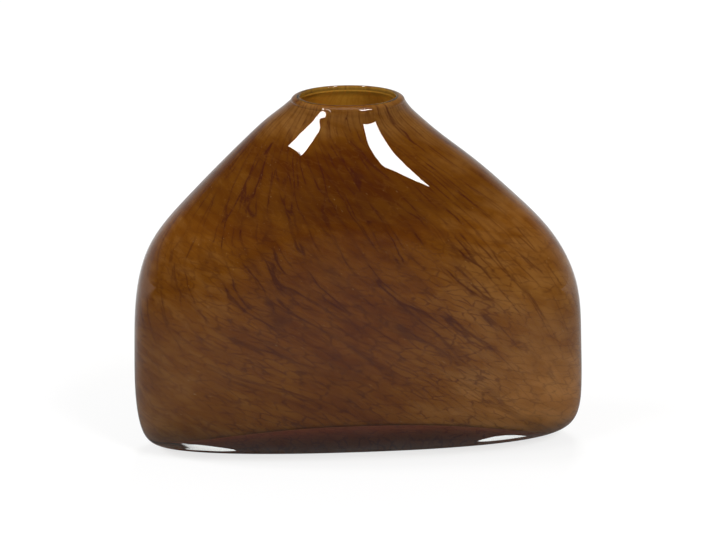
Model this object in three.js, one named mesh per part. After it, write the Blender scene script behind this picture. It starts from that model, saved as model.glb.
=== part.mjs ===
// A flattened, mouth-blown glass vase. An amber colour layer lies between a clear inner lining
// and a clear outer casing, on a heavy clear base, and a clear fire-polished lip closes the layers.
// Millimetres, +Z up. The broad front faces -Y, and the origin is under the middle of the body.
import * as THREE from 'three';

// Outer form, from the foot on the table to the lip. A station is one level of the outer skin: its
// rise above the station below it, its reach to the left and to the right of the middle, its half
// depth, and the power of its superellipse, where 2 is an ellipse and more is squarer.
const FOOT = { left: 103, right: 86, depth: 17.5, power: 2.1 };
const HEEL_EDGE = { rise: 2, left: 114.5, right: 105, depth: 26, power: 2.25 };
const HEEL = { rise: 5, left: 121.5, right: 118.8, depth: 35, power: 2.4 };
const HEEL_TOP = { rise: 10, left: 125, right: 125, depth: 44, power: 2.5 };
const BELLY_LOW = { rise: 15, left: 126.5, right: 126.5, depth: 49, power: 2.5 };
const BELLY = { rise: 28, left: 126, right: 126, depth: 52, power: 2.5 };
const BELLY_HIGH = { rise: 32, left: 123.5, right: 123, depth: 52, power: 2.5 };
const SHOULDER_LOW = { rise: 25, left: 115.8, right: 111.4, depth: 51.5, power: 2.4 };
const SHOULDER = { rise: 25, left: 96, right: 88.6, depth: 50, power: 2.3 };
const SHOULDER_HIGH = { rise: 20, left: 76.2, right: 66.8, depth: 46, power: 2.15 };
const NECK_LOW = { rise: 16, left: 59.6, right: 47, depth: 40.5, power: 2.05 };
const NECK = { rise: 10, left: 48, right: 36, depth: 36, power: 2.05 };
const NECK_TOP = { rise: 7, left: 38.4, right: 29.7, depth: 33, power: 2.05 };
const LIP = { rise: 3, left: 34.7, right: 27.9, depth: 31.7, power: 2.05 };

// Fall of the lip for each millimetre to the right. It begins at the low neck.
const MOUTH_TILT = 0.01;

// Glass layers, from the outside to the inside, and the clearance between neighbours.
const CASING_WALL = 2;
const COLOUR_WALL = 0.8;
const LINING_WALL = 1.6;
const LAYER_GAP = 0.3;

// Floor of the hollow, and the clear base under the colour. Its seat is highest at the middle of the
// front and of the back, and falls to the two ends, more steeply with a greater arch.
const LINING_FLOOR = 4;
const BASE_CROWN = 15.1;
const BASE_SEAT_LEFT = 6.5;
const BASE_SEAT_RIGHT = 3.5;
const BASE_SEAT_FRONT = 24;
const BASE_SEAT_FRONT_ARCH = 3;
const BASE_SEAT_BACK = 25;
const BASE_SEAT_BACK_ARCH_LEFT = 1.45;
const BASE_SEAT_BACK_ARCH_RIGHT = 1;

// The undersides and floors have a keel along the vase: its rise for each millimetre to the right, how
// soon it nears the ends, and its rounding as a share of the way up to the faces.
const KEEL_TILT = 0.01;
const KEEL_LENGTH = 0.14;
const KEEL_ROUNDING = 0.12;

// The clear lip: its straight band, and the crest above it, which is highest near the inside. The crest
// rises from the outer skin and drops a little to the inner one.
const LIP_BAND = 0.5;
const CREST_APEX_DEPTH = 4.4;
const CREST_RISE = 2.6;
const CREST_DROP = 0.8;

// The bead into which the colour thickens inside the lip: its depths below the outer skin, its rise from
// the top of the wall, and its drop to the inside.
const BEAD_OUTER_DEPTH = 1.1;
const BEAD_APEX_DEPTH = 3.5;
const BEAD_INNER_DEPTH = 4.2;
const BEAD_RISE = 2.2;
const BEAD_DROP = 1.5;

// Fineness of the surfaces: steps around, up a wall, up the base's side, and over the crest or the bead.
const AROUND = 40;
const WALL_STEPS = 16;
const BASE_STEPS = 5;
const ARCH_STEPS = 8;
const FLOOR_SHARES = [0.1, 0.3, 0.6];

// Search steps for a height on the skin, and the small step that finds a direction on it.
const HALVINGS = 40;
const NUDGE = 1e-3;

const STATIONS = [
  FOOT, HEEL_EDGE, HEEL, HEEL_TOP, BELLY_LOW, BELLY, BELLY_HIGH,
  SHOULDER_LOW, SHOULDER, SHOULDER_HIGH, NECK_LOW, NECK, NECK_TOP, LIP,
];
const LAST_LEVEL = STATIONS.length - 1;
const LOW_NECK_LEVEL = STATIONS.indexOf(NECK_LOW);
const THICKENING_LEVEL = STATIONS.indexOf(NECK);

// Depths below the outer skin at which the layers begin and end, on the body and at the lip.
const COLOUR_DEPTH = CASING_WALL + LAYER_GAP;
const COLOUR_END = COLOUR_DEPTH + COLOUR_WALL;
const LINING_DEPTH = COLOUR_END + LAYER_GAP;
const WALL = LINING_DEPTH + LINING_WALL;
const GROOVE_OUTER_DEPTH = BEAD_OUTER_DEPTH - LAYER_GAP;
const GROOVE_INNER_DEPTH = BEAD_INNER_DEPTH + LAYER_GAP;

// Heights of the undersides at the middle of the vase.
const LINING_CROWN = BASE_CROWN + COLOUR_WALL + LAYER_GAP;
const HOLLOW_CROWN = LINING_CROWN + LINING_FLOOR;

const UP = new THREE.Vector3(0, 0, 1);

// Natural cubic spline through (knots[i], values[i]), with continuous curvature.
function naturalSpline(knots, values) {
  const last = knots.length - 1;
  const width = (i) => knots[i + 1] - knots[i];
  const slope = (i) => (values[i + 1] - values[i]) / width(i);
  const bend = new Array(last + 1).fill(0);
  const sweep = [0];
  const load = [0];
  for (let i = 1; i < last; i += 1) {
    const pivot = 2 * (width(i - 1) + width(i)) - width(i - 1) * sweep[i - 1];
    sweep[i] = width(i) / pivot;
    load[i] = (6 * (slope(i) - slope(i - 1)) - width(i - 1) * load[i - 1]) / pivot;
  }
  for (let i = last - 1; i > 0; i -= 1) {
    bend[i] = load[i] - sweep[i] * bend[i + 1];
  }
  return (x) => {
    let i = 0;
    while (i < last - 1 && x > knots[i + 1]) {
      i += 1;
    }
    const along = x - knots[i];
    const start = slope(i) - (width(i) * (2 * bend[i] + bend[i + 1])) / 6;
    const twist = (bend[i + 1] - bend[i]) / (6 * width(i));
    return values[i] + along * (start + along * (bend[i] / 2 + along * twist));
  };
}

// Heights of the stations, and the distance travelled up the skin from one to the next.
const heights = [0];
const travelled = [0];
for (let i = 1; i < STATIONS.length; i += 1) {
  const here = STATIONS[i];
  const below = STATIONS[i - 1];
  const spread = (here.left + here.right - below.left - below.right) / 2;
  const step = Math.hypot(here.rise, spread, here.depth - below.depth);
  heights.push(heights[i - 1] + here.rise);
  travelled.push(travelled[i - 1] + step);
}

const splineOf = (key) => naturalSpline(travelled, STATIONS.map((station) => station[key]));
const form = {
  height: naturalSpline(travelled, heights),
  left: splineOf('left'),
  right: splineOf('right'),
  depth: splineOf('depth'),
  power: splineOf('power'),
};

// Distance up the skin at a level: whole levels are the stations, and parts of one lie between.
function distanceAt(level) {
  const i = Math.min(Math.floor(level), LAST_LEVEL - 1);
  return THREE.MathUtils.lerp(travelled[i], travelled[i + 1], level - i);
}

// Level at which the outer skin reaches a height.
function levelAt(height) {
  let low = 0;
  let high = LAST_LEVEL;
  for (let i = 0; i < HALVINGS; i += 1) {
    const middle = (low + high) / 2;
    if (form.height(distanceAt(middle)) < height) {
      low = middle;
    } else {
      high = middle;
    }
  }
  return (low + high) / 2;
}

// Share of the way from the low neck to the lip, eased at both ends.
function neckShare(level) {
  return THREE.MathUtils.smoothstep(level, LOW_NECK_LEVEL, LAST_LEVEL);
}

// Point of the outer skin at a level and a turn about the vertical.
function outerPoint(level, turn) {
  const along = distanceAt(level);
  const middle = (form.right(along) - form.left(along)) / 2;
  const halfWidth = (form.right(along) + form.left(along)) / 2;
  const rounding = 2 / form.power(along);
  const reach = (value) => Math.sign(value) * Math.abs(value) ** rounding;
  const x = middle + halfWidth * reach(Math.cos(turn));
  const y = form.depth(along) * reach(Math.sin(turn));
  return new THREE.Vector3(x, y, form.height(along) - MOUTH_TILT * neckShare(level) * x);
}

// The same point moved into the glass: square to the skin of the body, and level at the lip.
function skinPoint(level, turn, depth) {
  const above = Math.min(level + NUDGE, LAST_LEVEL);
  const below = Math.max(level - NUDGE, 0);
  const round = outerPoint(level, turn + NUDGE).sub(outerPoint(level, turn - NUDGE));
  const rise = outerPoint(above, turn).sub(outerPoint(below, turn));
  const outward = round.cross(rise).normalize();
  outward.z *= 1 - neckShare(level);
  outward.normalize();
  return outerPoint(level, turn).addScaledVector(outward, -depth);
}

// One closed ring of points, from a function of the turn.
function ring(pointAt) {
  return Array.from({ length: AROUND }, (_, i) => pointAt((2 * Math.PI * i) / AROUND));
}

// Even shares from 0 to 1, both included.
function shares(steps) {
  return Array.from({ length: steps + 1 }, (_, i) => i / steps);
}

const lipSeatLevel = levelAt(heights[LAST_LEVEL] - LIP_BAND);
const lipRootLevel = levelAt(heights[LAST_LEVEL] - LIP_BAND + LAYER_GAP);

// Ring at a depth on the level of the lip's underside.
function lipRoot(depth) {
  return ring((turn) => skinPoint(lipRootLevel, turn, depth));
}

// Level of the seat that the casing and the colour layer stand on, arched over the front and the back.
function seatLevel(turn, drop = 0) {
  const rightness = (1 + Math.cos(turn)) / 2;
  const ends = THREE.MathUtils.lerp(BASE_SEAT_LEFT, BASE_SEAT_RIGHT, rightness);
  const backArch = THREE.MathUtils.lerp(BASE_SEAT_BACK_ARCH_LEFT, BASE_SEAT_BACK_ARCH_RIGHT, rightness);
  const atFront = Math.sin(turn) < 0;
  const middle = atFront ? BASE_SEAT_FRONT : BASE_SEAT_BACK;
  const arch = Math.abs(Math.sin(turn)) ** (atFront ? BASE_SEAT_FRONT_ARCH : backArch);
  return levelAt(THREE.MathUtils.lerp(ends, middle, arch) - drop);
}

// Rings of a wall from the seat up to the lip, at one depth on the body and another at the lip.
function wall(depth, lipDepth) {
  return shares(WALL_STEPS).map((share) => ring((turn) => {
    const level = THREE.MathUtils.lerp(seatLevel(turn), lipSeatLevel, share);
    const thickening = THREE.MathUtils.smoothstep(level, THICKENING_LEVEL, lipSeatLevel);
    return skinPoint(level, turn, THREE.MathUtils.lerp(depth, lipDepth, thickening));
  }));
}

// Rings over the top of the wall, from an outer depth to an inner one: two quarter ellipses that meet
// at the apex. The foot is the height of the outer edge above the wall at that level.
function archRings(level, { outer, apex, inner, foot, rise, drop }) {
  return shares(ARCH_STEPS).map((share) => ring((turn) => {
    const swing = Math.PI * share;
    const [edge, height] = share < 0.5 ? [outer, rise] : [inner, drop];
    const depth = apex + (edge - apex) * Math.abs(Math.cos(swing));
    const up = foot + rise - height * (1 - Math.sin(swing));
    return skinPoint(level, turn, depth).addScaledVector(UP, up);
  }));
}

// Rings of the bead in which the colour ends, or of the groove around it, which is larger by a margin.
function beadRings(margin) {
  return archRings(lipSeatLevel, {
    outer: BEAD_OUTER_DEPTH - margin,
    apex: BEAD_APEX_DEPTH,
    inner: BEAD_INNER_DEPTH + margin,
    foot: margin,
    rise: BEAD_RISE,
    drop: BEAD_DROP,
  });
}

// Middle of a ring, at a height.
function middleOf(points, height) {
  const middle = points.reduce((sum, point) => sum.add(point), new THREE.Vector3()).divideScalar(AROUND);
  return middle.setZ(height);
}

// Rings of an underside or floor, from a point at its middle out towards its edge ring.
function floorRings(edge, crown) {
  const middle = middleOf(edge, crown);
  const bow = (share) => Math.hypot(share, KEEL_ROUNDING) - KEEL_ROUNDING;
  const rings = FLOOR_SHARES.map((share) => edge.map((point) => {
    const x = THREE.MathUtils.lerp(middle.x, point.x, share ** KEEL_LENGTH);
    const y = THREE.MathUtils.lerp(middle.y, point.y, share);
    const keel = crown + KEEL_TILT * x;
    return new THREE.Vector3(x, y, THREE.MathUtils.lerp(keel, point.z, bow(share) / bow(1)));
  }));
  return [[middle], ...rings];
}

// Closed rings joined in order: up the outside, over the top and down the inside.
// A ring of one point closes the solid there, and without one the last ring joins the first.
// Each four-cornered patch is split along its shorter diagonal, so that neighbours split alike.
function loft(rings) {
  const positions = [];
  const starts = [];
  const triangles = [];
  rings.forEach((points) => {
    starts.push(positions.length / 3);
    points.forEach((point) => positions.push(point.x, point.y, point.z));
  });
  const point = (i, j) => rings[i][j % rings[i].length];
  const index = (i, j) => starts[i] + (j % rings[i].length);
  const joins = rings[0].length === 1 ? rings.length - 1 : rings.length;
  for (let i = 0; i < joins; i += 1) {
    const next = (i + 1) % rings.length;
    for (let j = 0; j < AROUND; j += 1) {
      const [a, b, c, d] = [index(i, j), index(i, j + 1), index(next, j + 1), index(next, j)];
      const forward = point(i, j).distanceTo(point(next, j + 1));
      const backward = point(i, j + 1).distanceTo(point(next, j));
      const halves = forward < backward ? [[a, b, c], [a, c, d]] : [[a, b, d], [b, c, d]];
      halves.filter((half) => new Set(half).size === half.length)
        .forEach((half) => triangles.push(...half));
    }
  }
  const geometry = new THREE.BufferGeometry();
  geometry.setAttribute('position', new THREE.Float32BufferAttribute(positions, 3));
  geometry.setIndex(triangles);
  geometry.computeVertexNormals();
  return geometry;
}

function part(name, geometry, finish) {
  const mesh = new THREE.Mesh(geometry, new THREE.MeshStandardMaterial({ metalness: 0, ...finish }));
  mesh.name = name;
  return mesh;
}

// A cup between two walls: its underside, outer wall, rim, inner wall and floor.
function cup(outside, underCrown, rim, inside, floorCrown) {
  return loft([
    ...floorRings(outside[0], underCrown),
    ...outside,
    ...rim,
    ...[...inside].reverse(),
    ...floorRings(inside[0], floorCrown).reverse(),
  ]);
}

function clearCasing() {
  const finish = { color: 0xdfe3dc, roughness: 0.04, transparent: true, opacity: 0.35 };
  const inside = wall(CASING_WALL, GROOVE_OUTER_DEPTH).reverse();
  return part('clear_casing', loft([...wall(0, 0), ...inside]), finish);
}

function colourLayer() {
  const outside = wall(COLOUR_DEPTH, BEAD_OUTER_DEPTH);
  const inside = wall(COLOUR_END, BEAD_INNER_DEPTH);
  const bead = beadRings(0).slice(1);
  const shell = cup(outside, BASE_CROWN, bead, inside, BASE_CROWN + COLOUR_WALL);
  return part('colour_layer', shell, { color: 0x6a3c12, roughness: 0.25 });
}

function innerLining() {
  const finish = { color: 0xd9b36a, roughness: 0.05, transparent: true, opacity: 0.4 };
  const outside = wall(LINING_DEPTH, GROOVE_INNER_DEPTH);
  const shell = cup(outside, LINING_CROWN, [], wall(WALL, WALL), HOLLOW_CROWN);
  return part('inner_lining', shell, finish);
}

// The flat foot, the base's visible side, the seat for the casing, and the crown under the colour.
function clearBase() {
  const sides = shares(BASE_STEPS).map((share) => ring((turn) => (
    outerPoint(share * seatLevel(turn, LAYER_GAP), turn)
  )));
  const seat = ring((turn) => skinPoint(seatLevel(turn, LAYER_GAP), turn, COLOUR_DEPTH));
  const crown = floorRings(seat, BASE_CROWN - LAYER_GAP).reverse();
  const finish = { color: 0xcfd2cb, roughness: 0.04, transparent: true, opacity: 0.35 };
  return part('clear_base', loft([[middleOf(sides[0], 0)], ...sides, seat, ...crown]), finish);
}

// A band of the full wall under a rounded crest, with a groove below for the colour's bead.
function clearLip() {
  const crest = archRings(LAST_LEVEL, {
    outer: 0,
    apex: CREST_APEX_DEPTH,
    inner: WALL,
    foot: 0,
    rise: CREST_RISE,
    drop: CREST_DROP,
  });
  const innerRoot = [WALL, GROOVE_INNER_DEPTH].map(lipRoot);
  const groove = beadRings(LAYER_GAP).reverse();
  const finish = { color: 0xe3e4de, roughness: 0.03, transparent: true, opacity: 0.35 };
  return part('clear_lip', loft([lipRoot(0), ...crest, ...innerRoot, ...groove]), finish);
}

const vase = new THREE.Group();
vase.name = 'vase';
vase.add(clearCasing(), colourLayer(), innerLining(), clearBase(), clearLip());

export default vase;
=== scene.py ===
"""Looks of a flattened, mouth-blown vase of amber glass cased in clear glass.

Lengths are in millimetres where they are named and in metres once they reach Blender. +Z is up and
the broad front faces -Y. The clear layers touch as the fused glass does, so their shared faces are
see-through, and only the skin that meets the air bends light.
"""
import math

import bpy
import numpy as np
from mathutils import Matrix, Vector


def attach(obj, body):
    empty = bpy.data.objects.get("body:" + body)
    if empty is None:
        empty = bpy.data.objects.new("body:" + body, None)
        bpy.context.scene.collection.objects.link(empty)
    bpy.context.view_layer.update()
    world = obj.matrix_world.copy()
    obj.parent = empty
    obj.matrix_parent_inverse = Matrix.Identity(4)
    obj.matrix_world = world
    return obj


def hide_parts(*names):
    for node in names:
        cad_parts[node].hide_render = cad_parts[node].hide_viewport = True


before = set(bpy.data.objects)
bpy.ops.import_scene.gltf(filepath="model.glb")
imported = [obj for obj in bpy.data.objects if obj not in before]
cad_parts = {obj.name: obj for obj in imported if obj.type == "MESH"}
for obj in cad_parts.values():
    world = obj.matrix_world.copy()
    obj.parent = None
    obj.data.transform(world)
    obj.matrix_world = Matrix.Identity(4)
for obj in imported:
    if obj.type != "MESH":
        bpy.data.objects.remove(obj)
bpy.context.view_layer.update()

MM = 0.001

# Outer form from the foot to the lip, one station a row: the rise above the station below it, the
# reach to the left and to the right of the middle, the half depth, and the superellipse's power.
STATIONS = np.array([
    (0, 103, 86, 17.5, 2.1),        # foot
    (2, 114.5, 105, 26, 2.25),      # heel edge
    (5, 121.5, 118.8, 35, 2.4),     # heel
    (10, 125, 125, 44, 2.5),        # heel top
    (15, 126.5, 126.5, 49, 2.5),    # belly low
    (28, 126, 126, 52, 2.5),        # belly
    (32, 123.5, 123, 52, 2.5),      # belly high
    (25, 115.8, 111.4, 51.5, 2.4),  # shoulder low
    (25, 96, 88.6, 50, 2.3),        # shoulder
    (20, 76.2, 66.8, 46, 2.15),     # shoulder high
    (16, 59.6, 47, 40.5, 2.05),     # neck low
    (10, 48, 36, 36, 2.05),         # neck
    (7, 38.4, 29.7, 33, 2.05),      # neck top
    (3, 34.7, 27.9, 31.7, 2.05),    # lip
])
RISE, LEFT, RIGHT, DEPTH, POWER = STATIONS.T
LAST_LEVEL = len(STATIONS) - 1

# Fall of the lip for each millimetre to the right. It begins at the low neck.
MOUTH_TILT = 0.01
LOW_NECK_LEVEL = 10

# Depths below the outer skin of the colour layer's two faces, of the hidden faces of the clear
# layers, which lie inside the colour, and of the inside of the hollow.
COLOUR_DEPTH = 2.3
COLOUR_END = 3.1
CASING_END = 2.5
LINING_DEPTH = 2.9
WALL = 5.0

# Heights at the middle, and the arched seat of the colour on the base.
COLOUR_CROWN = 15.1
COLOUR_FLOOR = 15.9
LINING_CROWN = 15.7
HOLLOW_CROWN = 20.2
BASE_CROWN = 15.3
SEAT_LEFT = 6.5
SEAT_RIGHT = 3.5
SEAT_FRONT = 24.0
SEAT_FRONT_ARCH = 3.0
SEAT_BACK = 25.0
SEAT_BACK_ARCH_LEFT = 1.45
SEAT_BACK_ARCH_RIGHT = 1.0
SEAT_OVERLAP = 0.2
# The undersides and floors have a keel along the vase: its rise for each millimetre to the right, how
# soon it nears the ends, and its rounding as a share of the way up to the faces.
KEEL_TILT = 0.01
KEEL_LENGTH = 0.14
KEEL_ROUNDING = 0.12
COLOUR_ROUNDING = 1.2

# The clear lip has a straight band under a crest, and the colour ends inside it in a bead. Crest and
# bead are arches over the wall: their outer, apex and inner depths, the height of their outer edge,
# their rise from there to the apex, and their drop to the inner edge.
LIP_BAND = 0.5
CREST = {"outer": 0.0, "apex": 4.4, "inner": WALL, "foot": 0.0, "rise": 2.6, "drop": 0.8}
BEAD = {"outer": 1.1, "apex": 3.5, "inner": 4.2, "foot": 0.0, "rise": 2.2, "drop": 1.5}
# Level from which the colour thickens towards its bead, and how far the clear layers reach into it.
THICKENING_LEVEL = 11.0
LIP_OVERLAP = 0.2

# Fineness of the meshes.
AROUND = 224
WALL_STEPS = 120
BASE_STEPS = 18
FLOOR_STEPS = 20
ARCH_STEPS = 20
LIP_STEPS = 5
# Where two pieces meet, one more ring lies close to the edge, a share of the wall or of a level away.
SEAM_STEP = 0.002
LIP_SEAM_STEP = 0.013
# Half the span of levels and turns over which the skin's direction is measured.
NUDGE = 1e-3
TABLE_STEPS = 6000

# Spiral of the colour: its lean away from straight down, in degrees, at shares of the way from the
# lip to the middle of the underside, how much more it leans at the right end and less at the left,
# how much of it the inside has, and how much one millimetre down counts beside one radian around.
LEAN_SHARES = (0.0, 0.12, 0.3, 0.42, 0.5, 0.6, 0.75)
LEANS = (8.0, 16.0, 20.0, 24.0, 33.0, 47.0, 58.0)
LEAN_RIGHT = 0.3
LEAN_INSIDE = 0.1
FLOW_PER_MM = 0.0045

# Pattern of the colour. A scale is how many features lie along one radian around the vase. A ramp goes
# from one value to another, and gives the second pair of values there. Places are in metres, and the
# middle of a noise is at 0.5.
NOISE_MIDDLE = 0.5
WANDER = (5.0, (0.12, 0.12, 0.08))
FRAY = (38.0, (0.014, 0.014, 0.014))
VEIN_SCALE = 11.0
VEIN_STRETCH = (1.0, 1.0, 0.25)
VEIN_SMEAR = (0.0, 0.24, 0.25, 0.0)
VEIN_LINE = (0.012, 0.055, 0.72, 0.0)
VEIN_GAPS = (0.43, 0.55, 0.08, 1.0)
GAP_SCALE = 14.0
VEIN_FADE = (0.03, 0.10, 0.40, 1.0)
VEIN_ENDS = (0.050, 0.110, 1.0, 0.55)
VEIN_WEAR = (0.37, 0.56, 0.40, 1.0)
WEAR_SCALE = 8.0
# Pale specks for seeds, with their painted glint.
SEED_AND_GLINT_SCALE = 150.0
SEED_AND_GLINT_SPOT = (0.83, 0.89, 0.0, 0.5)
# Between the veins lie small flecks, on a grain that falls to the right. It is counted in grains to a
# metre across, through and up, and the scales from here on are features to a grain.
GRAIN_FALL = 0.4
GRAIN = (110.0, 90.0, 280.0)
GRAIN_STIR = (1.2, (0.7, 0.7, 0.7))
FLECK_LINE = (0.0, 0.12, 0.65, 0.0)
FLECK_WEAR = (0.38, 0.60, 0.22, 0.9)
FLECK_WEAR_SCALE = 1.1
FLECK_FADE = (0.09, 0.15, 1.0, 0.3)
WISP_LINE = (0.0, 0.03, 0.08, 0.0)
WISP_SCALE = 0.9
BROAD_SCALE = 0.16
BLOTCH_SCALE = 0.6
# How golden the colour is, by the place on the vase and in broad patches and blotches.
GOLD_LEAST = 0.12
GOLD_RIGHT = (0.0, 0.080, 0.0, 0.60)
GOLD_LEFT = (-0.010, -0.090, 0.0, 0.30)
GOLD_LOW = (0.080, 0.030, 0.0, 0.18)
GOLD_NECK = (0.172, 0.194, 0.0, 0.72)
GOLD_BROAD = (0.3, 0.7, -0.12, 0.12)
GOLD_BLOTCH = (0.3, 0.7, -0.14, 0.14)
# Painted light and shade by the place: painted shade above the foot and on the shoulders, painted light
# low at the right end, and the ends of the painted shade under the lip.
PAINTED_SHADE_BODY = (0.030, 0.060, 0.95, 0.90)
PAINTED_SHADE_SHOULDER = (0.130, 0.150, 1.0, 0.735)
PAINTED_SHADE_TOP = (0.1945, 0.197)
PAINTED_LIGHT_RIGHT = (0.020, 0.120, 0.0, 1.0)
PAINTED_LIGHT_LOW = (0.080, 0.020, 0.0, 0.3)

# Colours of the glass, as linear red, green and blue.
OUTSIDE_AMBER = {
    "deep": (0.104, 0.0245, 0.0022),
    "amber": (0.164, 0.053, 0.0048),
    "gold": (0.250, 0.104, 0.0230),
    "streak": (0.040, 0.0075, 0.0042),
}
# The inside's amber is more golden than the outside's, and far lighter as painted light, which stands in
# for light shining in through the mouth and the wall.
INSIDE_AMBER_PAINTED_LIGHT = {
    "deep": (0.575, 0.233, 0.022),
    "amber": (0.767, 0.356, 0.041),
    "gold": (0.95, 0.49, 0.068),
    "streak": (0.48, 0.19, 0.022),
}
# The underside's amber is red-brown, lightened as painted light and made bluer as a painted reflection.
UNDER_AMBER_PAINTED_LIGHT = {
    "deep": (0.44, 0.100, 0.040),
    "amber": (0.50, 0.130, 0.048),
    "gold": (0.56, 0.165, 0.060),
    "streak": (0.26, 0.060, 0.035),
}
# The bead's inner half has a tan amber, lighter than the outside's as painted light.
RIM_AMBER_PAINTED_LIGHT = {
    "deep": (0.17, 0.073, 0.0090),
    "amber": (0.21, 0.100, 0.0135),
    "gold": (0.26, 0.130, 0.0200),
    "streak": (0.06, 0.024, 0.006),
}
# Depth of the painted shade under the lip, on the inside.
INSIDE_PAINTED_SHADE = 0.5
# Pale specks: seeds in the glass, with their glint painted in.
SEED_AND_GLINT = (0.34, 0.20, 0.08)
CLEAR = (0.96, 0.97, 0.95)
LINING_TINT = (0.98, 0.93, 0.80)
AMBER_THROUGH = (0.60, 0.48, 0.25)
AMBER_ROUGHNESS = 0.7

# Skin of the clear glass: its faint ripples, as waves to a metre and their height, and the ramp of its
# roughness from polished to hazy patches.
GLASS_IOR = 1.5
WALL_RIPPLE = (14.0, 0.10)
BASE_RIPPLE = (20.0, 0.05)
LIP_RIPPLE = (20.0, 0.03)
HAZE = (0.35, 0.75, 0.0, 0.02)
HAZE_SCALE = 60.0

# Picture, camera and lamps.
PICTURE_WIDTH = 716
SENSOR_WIDTH = 36.0
MM_PER_PIXEL = 0.56
CAMERA_DISTANCE = 1300.0
CAMERA_ELEVATION = math.radians(16.0)
CAMERA_YAW = math.radians(2.5)
CAMERA_ROLL = math.radians(-1.0)
CAMERA_TARGET = (0.56, 0.0, 100.87)

LAMP_DISTANCE = 1500.0
LAMP_TARGET = (0.0, 0.0, 150.0)
LAMP_RADIANCE = 26.0
# Name, bearing from the front (right is positive), elevation, width and height seen from the vase,
# and roll, all in degrees, and whether the glass mirrors it.
SOFTBOXES = (
    ("lamp_left", -53.1, 43.9, 22.5, 7.1, -14.6, True),
    ("lamp_right", 38.0, 42.0, 18.5, 20.0, 0.0, True),
    ("lamp_fill", -85.0, 48.0, 12.5, 12.5, 0.0, False),
    ("lamp_back", 170.0, 50.0, 15.0, 15.0, 0.0, False),
)
# Strengths of the surroundings near the horizon and higher up, as light and in reflections, and over
# which upward and backward parts of a direction they change.
DOME_LOW = 0.28
DOME_HIGH = 0.24
MIRRORED_LOW = 0.04
MIRRORED_HIGH = 0.016
MIRRORED_CEILING = 0.72
MIRRORED_BACKDROP = 0.45
ROOM_RISE = (0.0, 0.5)
CEILING_RISE = (0.88, 0.97)
BACKDROP_RISE = (0.0, 0.4)
BACKDROP_BEHIND = (0.0, 0.6)

FLOOR_LEVEL = -0.3
FLOOR_REACH = 20000.0
FLOOR_NEAR = (0.20, 0.20, 0.20)
FLOOR_FAR = (0.08, 0.08, 0.08)
FLOOR_LIFT = 0.73
# Distances, in metres, over which the floor turns white to the eye and dark to the lamps, and over
# which it brightens in reflections behind the vase.
FLOOR_FADE = (0.2, 0.8)
MIRRORED_FADE = (0.05, 0.45)


def natural_spline(knots, values):
    """A function through the values at the knots, with continuous curvature."""
    width = np.diff(knots)
    slope = np.diff(values) / width
    count = len(knots)
    matrix = np.eye(count)
    load = np.zeros(count)
    for i in range(1, count - 1):
        matrix[i, i - 1:i + 2] = width[i - 1], 2 * (width[i - 1] + width[i]), width[i]
        load[i] = 6 * (slope[i] - slope[i - 1])
    bend = np.linalg.solve(matrix, load)

    def at(x):
        i = np.clip(np.searchsorted(knots, x, side="right") - 1, 0, count - 2)
        along = x - knots[i]
        start = slope[i] - width[i] * (2 * bend[i] + bend[i + 1]) / 6
        twist = (bend[i + 1] - bend[i]) / (6 * width[i])
        return values[i] + along * (start + along * (bend[i] / 2 + along * twist))

    return at


heights = np.cumsum(RISE)
steps = np.sqrt(np.diff(heights) ** 2 + np.diff((LEFT + RIGHT) / 2) ** 2 + np.diff(DEPTH) ** 2)
travelled = np.concatenate([[0.0], np.cumsum(steps)])
height_of = natural_spline(travelled, heights)
left_of = natural_spline(travelled, LEFT)
right_of = natural_spline(travelled, RIGHT)
depth_of = natural_spline(travelled, DEPTH)
power_of = natural_spline(travelled, POWER)

level_table = np.linspace(0, LAST_LEVEL, TABLE_STEPS)
turns = np.linspace(0, 2 * math.pi, AROUND, endpoint=False)


def distance_at(level):
    return np.interp(level, np.arange(LAST_LEVEL + 1), travelled)


height_table = height_of(distance_at(level_table))


def level_at(height):
    return np.interp(height, height_table, level_table)


def eased(share):
    """A share held between 0 and 1, with a soft start and end."""
    share = np.clip(share, 0, 1)
    return share ** 2 * (3 - 2 * share)


def neck_share(level):
    """Share of the way from the low neck to the lip."""
    return eased((level - LOW_NECK_LEVEL) / (LAST_LEVEL - LOW_NECK_LEVEL))


def outer_point(level, turn):
    """Points of the outer skin, at levels between the stations and turns about the vertical."""
    along = distance_at(level)
    middle = (right_of(along) - left_of(along)) / 2
    half_width = (right_of(along) + left_of(along)) / 2
    rounding = 2 / power_of(along)
    cosine, sine = np.cos(turn), np.sin(turn)
    x = middle + half_width * np.sign(cosine) * np.abs(cosine) ** rounding
    y = depth_of(along) * np.sign(sine) * np.abs(sine) ** rounding
    return np.stack([x, y, height_of(along) - MOUTH_TILT * neck_share(level) * x], axis=-1)


def skin_point(level, turn, depth):
    """The same points moved into the glass: square to the skin of the body, and level at the lip."""
    around = outer_point(level, turn + NUDGE) - outer_point(level, turn - NUDGE)
    above = outer_point(np.minimum(level + NUDGE, LAST_LEVEL), turn)
    below = outer_point(np.maximum(level - NUDGE, 0), turn)
    outward = np.cross(around, above - below)
    outward /= np.linalg.norm(outward, axis=-1, keepdims=True)
    outward[..., 2] *= 1 - neck_share(level)
    outward /= np.linalg.norm(outward, axis=-1, keepdims=True)
    return outer_point(level, turn) - depth * outward


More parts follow.
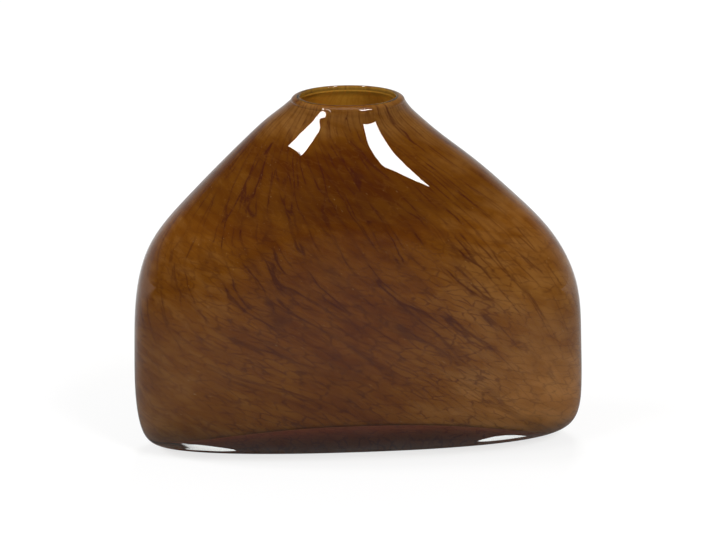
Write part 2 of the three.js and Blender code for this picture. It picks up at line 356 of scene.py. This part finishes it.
lip_seat_level = level_at(heights[-1] - LIP_BAND)
rightness = (1 + np.cos(turns)) / 2
seat_ends = SEAT_LEFT + (SEAT_RIGHT - SEAT_LEFT) * rightness
back_arch = SEAT_BACK_ARCH_LEFT + (SEAT_BACK_ARCH_RIGHT - SEAT_BACK_ARCH_LEFT) * rightness
seat_front = seat_ends + (SEAT_FRONT - seat_ends) * np.abs(np.sin(turns)) ** SEAT_FRONT_ARCH
seat_back = seat_ends + (SEAT_BACK - seat_ends) * np.abs(np.sin(turns)) ** back_arch
seat_heights = np.where(np.sin(turns) < 0, seat_front, seat_back)
seat_levels = level_at(seat_heights)


def seamed_shares(count):
    """Even shares from 0 to 1, with one more close to each end, where a neighbour's shading begins."""
    even = np.linspace(0, 1, count + 1)
    return np.concatenate([[0, SEAM_STEP], even[1:-1], [1 - SEAM_STEP, 1]])


def wall_rings(depth, lip_depth, rounding=0.0):
    """Rings of a wall from the seat, where it is rounded in, to the lip, where it has its own depth."""
    rings = []
    for share in seamed_shares(WALL_STEPS):
        levels = seat_levels + (lip_seat_level - seat_levels) * share
        thick = eased((levels - THICKENING_LEVEL) / (lip_seat_level - THICKENING_LEVEL))
        rise = height_of(distance_at(levels)) - seat_heights
        short = np.clip(rounding - rise, 0, rounding)
        tuck = rounding - np.sqrt(rounding ** 2 - short ** 2)
        depths = depth + tuck + (lip_depth - depth) * thick
        rings.append(skin_point(levels, turns, depths[:, None]))
    return rings


def floor_rings(edge, crown, tilt=KEEL_TILT):
    """Rings of an underside or floor, from near its keel out to just inside its edge ring."""
    centre = edge.mean(axis=0)
    rings = []
    for share in np.linspace(0, 1, FLOOR_STEPS + 1)[1:-1]:
        ring = centre + (edge - centre) * share
        ring[:, 0] = centre[0] + (edge[:, 0] - centre[0]) * share ** KEEL_LENGTH
        keel = crown + tilt * ring[:, 0]
        flank = math.hypot(share, KEEL_ROUNDING) - KEEL_ROUNDING
        flank /= math.hypot(1, KEEL_ROUNDING) - KEEL_ROUNDING
        ring[:, 2] = keel + (edge[:, 2] - keel) * flank
        rings.append(ring)
    return rings


def arch_rings(level, arch):
    """Rings over the wall's top, from its outer to its inner side.

    They follow two quarter ellipses that meet at the apex.
    """
    levels = np.full(AROUND, float(level))
    rings = []
    for swing in np.linspace(0, math.pi, ARCH_STEPS + 1):
        before = swing < math.pi / 2
        edge = arch["outer"] if before else arch["inner"]
        height = arch["rise"] if before else arch["drop"]
        ring = skin_point(levels, turns, arch["apex"] + (edge - arch["apex"]) * abs(math.cos(swing)))
        ring[:, 2] += arch["foot"] + arch["rise"] - height * (1 - math.sin(swing))
        rings.append(ring)
    return rings


def flow_of(rings, lean=1.0):
    """For each point of a wall and floor, from the lip down, where it lies in the drawn-out colour.

    The first two numbers go once round a circle as the point goes once round the vase, turned by
    the lean of the colour above it, and the third follows the wall down from the lip.
    """
    drops = [np.linalg.norm(low - high, axis=1).mean() for high, low in zip(rings, rings[1:])]
    below = np.concatenate([[0.0], np.cumsum(drops)])
    leans = np.radians(np.interp(below / below[-1], LEAN_SHARES, LEANS)) * lean
    flows = []
    turned = 0.0
    for ring, drop, depth, angle in zip(rings, [0.0, *drops], below, leans):
        sides = np.linalg.norm(np.roll(ring, -1, axis=0) - ring, axis=1)
        start = np.concatenate([[0.0], np.cumsum(sides)[:-1]])
        turned += math.tan(angle) * drop * 2 * math.pi / sides.sum()
        around = 2 * math.pi * start / sides.sum() - turned * (1 + LEAN_RIGHT * np.cos(turns))
        down = np.full(AROUND, depth * FLOW_PER_MM)
        flows.append(np.stack([np.cos(around), np.sin(around), down], axis=-1))
    return flows


def add_object(name, data):
    """A new object in the scene."""
    thing = bpy.data.objects.new(name, data)
    bpy.context.scene.collection.objects.link(thing)
    return thing


def make_piece(name, bands, node, closed=True):
    """One closed solid lofted through bands of rings, each band with its material.

    A band is (rings, material). The faces from a band's last ring to the next band's first ring
    belong to the next band. Without closed, the first and last rings are capped by a fan.
    """
    rings = [ring for band, _ in bands for ring in band]
    count = len(rings)
    points = np.concatenate(rings) * MM
    materials = []
    for _, material in bands:
        if material not in materials:
            materials.append(material)
    ring_material = [materials.index(material) for band, material in bands for _ in band]

    faces = []
    face_material = []
    here = np.arange(AROUND)
    ahead = np.roll(here, -1)
    for i in range(count if closed else count - 1):
        upper = (i + 1) % count
        for a, b in zip(here, ahead):
            faces.append((i * AROUND + a, i * AROUND + b, upper * AROUND + b, upper * AROUND + a))
        face_material += [ring_material[upper]] * AROUND
    if not closed:
        for i, flip in ((0, True), (count - 1, False)):
            centre = len(points)
            points = np.concatenate([points, rings[i].mean(axis=0, keepdims=True) * MM])
            for a, b in zip(here, ahead):
                fan = (i * AROUND + a, i * AROUND + b, centre)
                faces.append(fan[::-1] if flip else fan)
            face_material += [ring_material[i]] * AROUND

    mesh = bpy.data.meshes.new(name)
    mesh.from_pydata(points.tolist(), [], faces)
    for material in materials:
        mesh.materials.append(material)
    mesh.polygons.foreach_set("material_index", face_material)
    mesh.polygons.foreach_set("use_smooth", [True] * len(mesh.polygons))
    mesh.update()
    piece = add_object(name, mesh)
    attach(piece, "root")
    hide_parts(node)
    return piece


def sharpen(piece, ring_indices):
    """Breaks the smooth shading along whole rings."""
    sharp = set(ring_indices)
    mesh = piece.data
    marks = np.zeros(len(mesh.edges), bool)
    for edge in mesh.edges:
        a, b = edge.vertices
        if a // AROUND == b // AROUND and a // AROUND in sharp:
            marks[edge.index] = True
    layer = mesh.attributes.new("sharp_edge", "BOOLEAN", "EDGE")
    layer.data.foreach_set("value", marks)


# Places of a Mix node's colours among its sockets.
MIX_FIRST, MIX_SECOND, MIX_RESULT = 6, 7, 2


class Nodes:
    """Short ways to add and join the nodes of one material or of the world."""

    def __init__(self, owner, output_kind="ShaderNodeOutputMaterial"):
        self.owner = owner
        owner.use_nodes = True
        self.tree = owner.node_tree
        self.tree.nodes.clear()
        self.output = self.add(output_kind)

    def add(self, kind):
        return self.tree.nodes.new(kind)

    def put(self, value, socket):
        if isinstance(value, bpy.types.NodeSocket):
            self.tree.links.new(value, socket)
        else:
            socket.default_value = value

    def math(self, operation, a, b=0.0, clamp=False):
        node = self.add("ShaderNodeMath")
        node.operation = operation
        node.use_clamp = clamp
        self.put(a, node.inputs[0])
        self.put(b, node.inputs[1])
        return node.outputs[0]

    def vector(self, operation, a, b):
        node = self.add("ShaderNodeVectorMath")
        node.operation = operation
        self.put(a, node.inputs[0])
        self.put(b, node.inputs[1])
        return node.outputs[0]

    def noise(self, place, scale, detail=2.0):
        node = self.add("ShaderNodeTexNoise")
        self.put(place, node.inputs["Vector"])
        node.inputs["Scale"].default_value = scale
        node.inputs["Detail"].default_value = detail
        return node.outputs["Fac"], node.outputs["Color"]

    def stirred(self, place, scale, reach):
        """The place, moved about by up to half the reach."""
        _, colour = self.noise(place, scale)
        offset = self.vector("SUBTRACT", colour, (NOISE_MIDDLE,) * 3)
        return self.vector("ADD", place, self.vector("MULTIPLY", offset, reach))

    def edge_distance(self, place, scale):
        """Distance to the nearest edge between cells."""
        node = self.add("ShaderNodeTexVoronoi")
        node.feature = "DISTANCE_TO_EDGE"
        self.put(place, node.inputs["Vector"])
        node.inputs["Scale"].default_value = scale
        return node.outputs["Distance"]

    def ramp(self, value, low, high, out_low=0.0, out_high=1.0, kind="SMOOTHSTEP"):
        node = self.add("ShaderNodeMapRange")
        node.interpolation_type = kind
        self.put(value, node.inputs["Value"])
        node.inputs["From Min"].default_value = low
        node.inputs["From Max"].default_value = high
        node.inputs["To Min"].default_value = out_low
        node.inputs["To Max"].default_value = out_high
        return node.outputs["Result"]

    def mix(self, share, a, b, blend="MIX"):
        node = self.add("ShaderNodeMix")
        node.data_type = "RGBA"
        node.blend_type = blend
        self.put(share, node.inputs[0])
        self.put((*a, 1.0) if isinstance(a, tuple) else a, node.inputs[MIX_FIRST])
        self.put((*b, 1.0) if isinstance(b, tuple) else b, node.inputs[MIX_SECOND])
        return node.outputs[MIX_RESULT]

    def mix_shader(self, share, a, b):
        node = self.add("ShaderNodeMixShader")
        self.put(share, node.inputs[0])
        self.put(a, node.inputs[1])
        self.put(b, node.inputs[2])
        return node.outputs[0]

    def finish(self, shader):
        self.put(shader, self.output.inputs["Surface"])
        return self.owner


def material_nodes(name):
    return Nodes(bpy.data.materials.new(name))


def clear_glass(name, tint, ripple_scale, ripple_height):
    """Clear blown glass: faint cords ripple its surface, and lamps shine through it."""
    nodes = material_nodes(name)
    place = nodes.add("ShaderNodeTexCoord").outputs["Object"]
    ripple, _ = nodes.noise(place, ripple_scale, detail=1.0)
    bump = nodes.add("ShaderNodeBump")
    bump.inputs["Strength"].default_value = 1.0
    bump.inputs["Distance"].default_value = ripple_height * MM
    nodes.put(ripple, bump.inputs["Height"])
    haze, _ = nodes.noise(place, HAZE_SCALE, detail=3.0)
    glass = nodes.add("ShaderNodeBsdfPrincipled")
    glass.inputs["Base Color"].default_value = (*tint, 1.0)
    glass.inputs["Transmission Weight"].default_value = 1.0
    glass.inputs["IOR"].default_value = GLASS_IOR
    nodes.put(nodes.ramp(haze, *HAZE), glass.inputs["Roughness"])
    nodes.put(bump.outputs["Normal"], glass.inputs["Normal"])
    through = nodes.add("ShaderNodeBsdfTransparent")
    through.inputs["Color"].default_value = (*tint, 1.0)
    path = nodes.add("ShaderNodeLightPath")
    lit = nodes.math("MAXIMUM", path.outputs["Is Shadow Ray"], path.outputs["Is Diffuse Ray"])
    return nodes.finish(nodes.mix_shader(lit, glass.outputs[0], through.outputs[0]))


def fused_joint():
    """Faces inside the fused glass, which nothing shows."""
    nodes = material_nodes("fused_joint")
    return nodes.finish(nodes.add("ShaderNodeBsdfTransparent").outputs[0])


def streaked_amber(name, palette, top=1.0):
    """Amber colour drawn into broken veins with soft smears beside them, flecks, wisps, and pale specks
    for seeds with their glint painted in.

    It is deepest at the middle of the two faces and more golden towards the ends, the foot and the neck.
    Painted shade darkens the shoulders and, a little, the body above the foot, and painted light
    brightens its low right end. The top sets the painted shade under the lip. Some of the lamps'
    light passes through it.
    """
    nodes = material_nodes(name)
    flow = nodes.add("ShaderNodeAttribute")
    flow.attribute_name = "flow"
    place = nodes.stirred(nodes.stirred(flow.outputs["Vector"], *WANDER), *FRAY)
    split = nodes.add("ShaderNodeSeparateXYZ")
    nodes.put(nodes.add("ShaderNodeTexCoord").outputs["Object"], split.inputs[0])
    right, height = split.outputs["X"], split.outputs["Z"]
    grain = nodes.add("ShaderNodeCombineXYZ")
    nodes.put(right, grain.inputs["X"])
    nodes.put(split.outputs["Y"], grain.inputs["Y"])
    nodes.put(nodes.math("ADD", height, nodes.math("MULTIPLY", right, GRAIN_FALL)), grain.inputs["Z"])
    grain = nodes.stirred(nodes.vector("MULTIPLY", grain.outputs[0], GRAIN), *GRAIN_STIR)

    broad, _ = nodes.noise(grain, BROAD_SCALE)
    blotch, _ = nodes.noise(grain, BLOTCH_SCALE, detail=1.0)
    golden = GOLD_LEAST
    for value, ramp in (
        (right, GOLD_RIGHT), (right, GOLD_LEFT), (height, GOLD_LOW), (height, GOLD_NECK),
        (broad, GOLD_BROAD), (blotch, GOLD_BLOTCH),
    ):
        golden = nodes.math("ADD", golden, nodes.ramp(value, *ramp))
    # The first half of the way goes from deep to amber, and the second half on to gold.
    golden = nodes.math("MULTIPLY", golden, 2.0)
    colour = nodes.mix(nodes.math("MINIMUM", golden, 1.0, clamp=True), palette["deep"], palette["amber"])
    colour = nodes.mix(nodes.math("SUBTRACT", golden, 1.0, clamp=True), colour, palette["gold"])

    # Painted shade on the shoulders and above the foot, and painted light low at the right end.
    shade = nodes.math("MULTIPLY", nodes.ramp(height, *PAINTED_SHADE_BODY), nodes.ramp(height, *PAINTED_SHADE_SHOULDER))
    light = nodes.math("MULTIPLY", nodes.ramp(right, *PAINTED_LIGHT_RIGHT), nodes.ramp(height, *PAINTED_LIGHT_LOW))
    shade = nodes.math("ADD", shade, light)
    # Painted shade under the lip, as deep as the top.
    shade = nodes.math("MULTIPLY", shade, nodes.ramp(height, *PAINTED_SHADE_TOP, 1.0, top))
    colour = nodes.mix(1.0, colour, shade, "MULTIPLY")

    wear, _ = nodes.noise(place, WEAR_SCALE)
    ends = nodes.ramp(nodes.math("ABSOLUTE", right), *VEIN_ENDS)
    kept = nodes.math("MULTIPLY", nodes.ramp(wear, *VEIN_WEAR), nodes.ramp(height, *VEIN_FADE))
    kept = nodes.math("MULTIPLY", kept, ends)
    veins = nodes.edge_distance(nodes.vector("MULTIPLY", place, VEIN_STRETCH), VEIN_SCALE)
    smears = nodes.math("MULTIPLY", nodes.ramp(veins, *VEIN_SMEAR), kept)
    colour = nodes.mix(smears, colour, palette["streak"])
    gaps, _ = nodes.noise(place, GAP_SCALE, detail=1.0)
    lines = nodes.math("MULTIPLY", nodes.ramp(veins, *VEIN_LINE), nodes.ramp(gaps, *VEIN_GAPS))
    colour = nodes.mix(nodes.math("MULTIPLY", lines, kept), colour, palette["streak"])

    wear, _ = nodes.noise(grain, FLECK_WEAR_SCALE)
    kept = nodes.math("MULTIPLY", nodes.ramp(wear, *FLECK_WEAR), nodes.ramp(height, *FLECK_FADE))
    kept = nodes.math("MULTIPLY", kept, ends)
    flecks = nodes.ramp(nodes.edge_distance(grain, 1.0), *FLECK_LINE)
    colour = nodes.mix(nodes.math("MULTIPLY", flecks, kept), colour, palette["streak"])
    wisp, _ = nodes.noise(grain, WISP_SCALE, detail=1.0)
    wisp = nodes.math("ABSOLUTE", nodes.math("SUBTRACT", wisp, NOISE_MIDDLE))
    colour = nodes.mix(nodes.ramp(wisp, *WISP_LINE), colour, palette["gold"])
    # Pale specks for seeds, with their glint painted in.
    seed_and_glint, _ = nodes.noise(place, SEED_AND_GLINT_SCALE, detail=0.0)
    colour = nodes.mix(nodes.ramp(seed_and_glint, *SEED_AND_GLINT_SPOT), colour, SEED_AND_GLINT)

    amber = nodes.add("ShaderNodeBsdfPrincipled")
    nodes.put(colour, amber.inputs["Base Color"])
    amber.inputs["Roughness"].default_value = AMBER_ROUGHNESS
    amber.inputs["Specular IOR Level"].default_value = 0.0
    through = nodes.add("ShaderNodeBsdfTransparent")
    through.inputs["Color"].default_value = (*AMBER_THROUGH, 1.0)
    path = nodes.add("ShaderNodeLightPath")
    shadow = path.outputs["Is Shadow Ray"]
    return nodes.finish(nodes.mix_shader(shadow, amber.outputs[0], through.outputs[0]))


def floor_material():
    """A pale matt floor that keeps shadows, and that whitens away from the vase.

    The eye sees it near white, also through glass. Behind the vase it is bright in reflections too.
    """
    nodes = material_nodes("studio_floor")
    matt = nodes.add("ShaderNodeBsdfDiffuse")
    place = nodes.add("ShaderNodeTexCoord").outputs["Object"]
    split = nodes.add("ShaderNodeSeparateXYZ")
    nodes.put(place, split.inputs[0])
    away = nodes.add("ShaderNodeVectorMath")
    away.operation = "LENGTH"
    nodes.put(place, away.inputs[0])
    far = nodes.ramp(away.outputs["Value"], *FLOOR_FADE)
    nodes.put(nodes.mix(far, FLOOR_NEAR, FLOOR_FAR), matt.inputs["Color"])
    path = nodes.add("ShaderNodeLightPath")
    seen = nodes.math("MAXIMUM", path.outputs["Is Camera Ray"], path.outputs["Is Transmission Ray"])
    mirrored = nodes.math("SUBTRACT", path.outputs["Is Glossy Ray"], seen, clamp=True)
    seen = nodes.math("MULTIPLY", seen, nodes.ramp(far, 0.0, 1.0, FLOOR_LIFT, 1.0))
    behind = nodes.ramp(split.outputs["Y"], *MIRRORED_FADE, 0.0, MIRRORED_BACKDROP)
    mirrored = nodes.math("MULTIPLY", mirrored, behind)
    lift = nodes.add("ShaderNodeEmission")
    nodes.put(nodes.math("ADD", seen, mirrored), lift.inputs["Strength"])
    both = nodes.add("ShaderNodeAddShader")
    nodes.put(matt.outputs[0], both.inputs[0])
    nodes.put(lift.outputs[0], both.inputs[1])
    return nodes.finish(both.outputs[0])


def studio_world():
    """White to the eye and through glass, and as light a soft dome.

    In reflections it is a dim room with a pale backdrop behind the vase and a bright ceiling.
    """
    nodes = Nodes(bpy.data.worlds.new("studio"), "ShaderNodeOutputWorld")
    split = nodes.add("ShaderNodeSeparateXYZ")
    nodes.put(nodes.add("ShaderNodeTexCoord").outputs["Generated"], split.inputs[0])
    behind, rise = split.outputs["Y"], split.outputs["Z"]
    path = nodes.add("ShaderNodeLightPath")
    seen = nodes.math("MAXIMUM", path.outputs["Is Camera Ray"], path.outputs["Is Transmission Ray"])
    glossy = path.outputs["Is Glossy Ray"]

    wall = nodes.ramp(behind, *BACKDROP_BEHIND, 0.0, MIRRORED_BACKDROP, "LINEAR")
    wall = nodes.math("MULTIPLY", wall, nodes.ramp(rise, *BACKDROP_RISE, 1.0, 0.0, "LINEAR"))
    room = nodes.ramp(rise, *ROOM_RISE, MIRRORED_LOW, MIRRORED_HIGH, "LINEAR")
    ceiling = nodes.ramp(rise, *CEILING_RISE, 0.0, MIRRORED_CEILING, "LINEAR")
    mirrored = nodes.math("MAXIMUM", nodes.math("MAXIMUM", wall, room), ceiling)
    mirrored = nodes.math("MULTIPLY", glossy, mirrored)
    dome = nodes.ramp(rise, *ROOM_RISE, DOME_LOW, DOME_HIGH, "LINEAR")
    lighting = nodes.math("MULTIPLY", nodes.math("SUBTRACT", 1.0, glossy), dome)

    background = nodes.add("ShaderNodeBackground")
    background.inputs["Color"].default_value = (1.0, 1.0, 1.0, 1.0)
    strength = nodes.math("MAXIMUM", seen, nodes.math("ADD", mirrored, lighting))
    nodes.put(strength, background.inputs["Strength"])
    bpy.context.scene.world = nodes.finish(background.outputs[0])


def direction(bearing, elevation):
    """Towards a bearing from the front, where right is positive, and an elevation, in radians."""
    level = math.cos(elevation)
    return Vector((math.sin(bearing) * level, -math.cos(bearing) * level, math.sin(elevation)))


def add_softbox(name, bearing, elevation, width, height, roll, mirrored):
    """A rectangular lamp that faces the vase, of a size given by the angles it is seen under."""
    towards = direction(math.radians(bearing), math.radians(elevation))
    lamp = bpy.data.lights.new(name, "AREA")
    lamp.shape = "RECTANGLE"
    lamp.size = 2 * LAMP_DISTANCE * MM * math.tan(math.radians(width) / 2)
    lamp.size_y = 2 * LAMP_DISTANCE * MM * math.tan(math.radians(height) / 2)
    lamp.energy = LAMP_RADIANCE * math.pi * lamp.size * lamp.size_y
    holder = add_object(name, lamp)
    holder.location = (Vector(LAMP_TARGET) + towards * LAMP_DISTANCE) * MM
    facing = towards.to_track_quat("Z", "Y").to_matrix()
    holder.rotation_euler = (facing @ Matrix.Rotation(math.radians(roll), 3, "Z")).to_euler()
    holder.visible_camera = False
    holder.visible_glossy = mirrored


def add_camera():
    towards = direction(-CAMERA_YAW, CAMERA_ELEVATION)
    data = bpy.data.cameras.new("camera")
    data.sensor_width = SENSOR_WIDTH
    data.lens = SENSOR_WIDTH * CAMERA_DISTANCE / MM_PER_PIXEL / PICTURE_WIDTH
    camera = add_object("camera", data)
    level = towards.to_track_quat("Z", "Y").to_matrix().to_4x4()
    place = Matrix.Translation((Vector(CAMERA_TARGET) + towards * CAMERA_DISTANCE) * MM)
    camera.matrix_world = place @ level @ Matrix.Rotation(CAMERA_ROLL, 4, "Z")
    bpy.context.scene.camera = camera


def add_floor():
    reach = FLOOR_REACH * MM
    corners = [(x * reach, y * reach, FLOOR_LEVEL * MM) for x, y in ((-1, -1), (1, -1), (1, 1), (-1, 1))]
    mesh = bpy.data.meshes.new("floor")
    mesh.from_pydata(corners, [], [(0, 1, 2, 3)])
    mesh.materials.append(floor_material())
    floor = add_object("floor", mesh)


def add_casing(glass, joint):
    outside = wall_rings(0, 0)
    inside = wall_rings(CASING_END, BEAD["outer"] + LIP_OVERLAP)[::-1]
    piece = make_piece("casing_glass", [
        (outside[:1], joint), (outside[1:], glass), (inside, joint),
    ], "clear_casing")
    sharpen(piece, [0, len(outside) - 1, len(outside), len(outside) + len(inside) - 1])


def add_colour(outer_amber, inner_amber_painted_light, rim_amber_painted_light, under_amber_painted_light):
    outside = wall_rings(COLOUR_DEPTH, BEAD["outer"], COLOUR_ROUNDING)
    inside = wall_rings(COLOUR_END, BEAD["inner"], COLOUR_ROUNDING)[::-1]
    bead = arch_rings(lip_seat_level, BEAD)[1:]
    half = ARCH_STEPS // 2
    under = floor_rings(outside[0], COLOUR_CROWN)
    floor = floor_rings(inside[-1], COLOUR_FLOOR)[::-1]
    piece = make_piece("amber_layer", [
        # The underside takes an amber with painted light and a painted reflection.
        (under, under_amber_painted_light), (outside, outer_amber), (bead[:half], outer_amber),
        # The bead's inner half and the inside take ambers with painted light.
        (bead[half:], rim_amber_painted_light), (inside, inner_amber_painted_light), (floor, inner_amber_painted_light),
    ], "colour_layer", closed=False)
    top = len(under) + len(outside)
    sharpen(piece, [top - 1, top + len(bead) - 1, top + len(bead)])
    flows = flow_of((under + outside + bead[:half])[::-1])[::-1]
    flows += flow_of(bead[half:] + inside + floor, LEAN_INSIDE)
    cap_middles = [flows[end].mean(axis=0, keepdims=True) for end in (0, -1)]
    layer = piece.data.attributes.new("flow", "FLOAT_VECTOR", "POINT")
    layer.data.foreach_set("vector", np.concatenate(flows + cap_middles).astype(np.float32).ravel())


def add_lining(glass, joint):
    outside = wall_rings(LINING_DEPTH, BEAD["inner"] - LIP_OVERLAP)
    inside = wall_rings(WALL, WALL)[::-1]
    under = floor_rings(outside[0], LINING_CROWN)
    floor = floor_rings(inside[-1], HOLLOW_CROWN)[::-1]
    piece = make_piece("lining_glass", [
        (under, joint), (outside, joint), (inside[:1], joint), (inside[1:], glass), (floor, glass),
    ], "inner_lining", closed=False)
    top = len(under) + len(outside)
    sharpen(piece, [len(under), top - 1, top])


def add_base(glass, joint):
    sides = [outer_point(seat_levels * share, turns) for share in seamed_shares(BASE_STEPS)]
    seat = skin_point(seat_levels, turns, CASING_END)
    seat[:, 2] += SEAT_OVERLAP
    foot = floor_rings(sides[0], 0.0, tilt=0.0)
    crown = floor_rings(seat, BASE_CROWN)[::-1]
    piece = make_piece("base_glass", [
        (foot, glass), (sides, glass), ([seat], joint), (crown, joint),
    ], "clear_base", closed=False)
    edge = len(foot)
    sharpen(piece, [edge, edge + len(sides) - 1, edge + len(sides)])


def add_lip(glass, joint):
    band = np.linspace(lip_seat_level, LAST_LEVEL, LIP_STEPS + 1)
    band = np.concatenate([band[:1], [band[0] + LIP_SEAM_STEP], band[1:-1]])
    outside = [skin_point(np.full(AROUND, level), turns, 0) for level in band]
    inside = [skin_point(np.full(AROUND, level), turns, WALL) for level in band[::-1]]
    rings = outside + arch_rings(LAST_LEVEL, CREST) + inside
    piece = make_piece("lip_glass", [(rings[:1], joint), (rings[1:], glass)], "clear_lip")
    sharpen(piece, [0, len(rings) - 1])


bpy.context.scene.view_settings.view_transform = "Standard"
add_camera()
studio_world()
for softbox in SOFTBOXES:
    add_softbox(*softbox)
add_floor()

joint_material = fused_joint()
add_casing(clear_glass("casing_glass", CLEAR, *WALL_RIPPLE), joint_material)
# The inside, rim and underside ambers are copies of the amber with painted light; the inside's also has
# painted shade under the lip.
add_colour(
    streaked_amber("amber_outside", OUTSIDE_AMBER),
    streaked_amber("amber_inside_painted_light", INSIDE_AMBER_PAINTED_LIGHT, INSIDE_PAINTED_SHADE),
    streaked_amber("amber_rim_painted_light", RIM_AMBER_PAINTED_LIGHT),
    streaked_amber("amber_under_painted_light", UNDER_AMBER_PAINTED_LIGHT),
)
add_lining(clear_glass("lining_glass", LINING_TINT, *WALL_RIPPLE), joint_material)
add_base(clear_glass("base_glass", CLEAR, *BASE_RIPPLE), joint_material)
add_lip(clear_glass("lip_glass", CLEAR, *LIP_RIPPLE), joint_material)
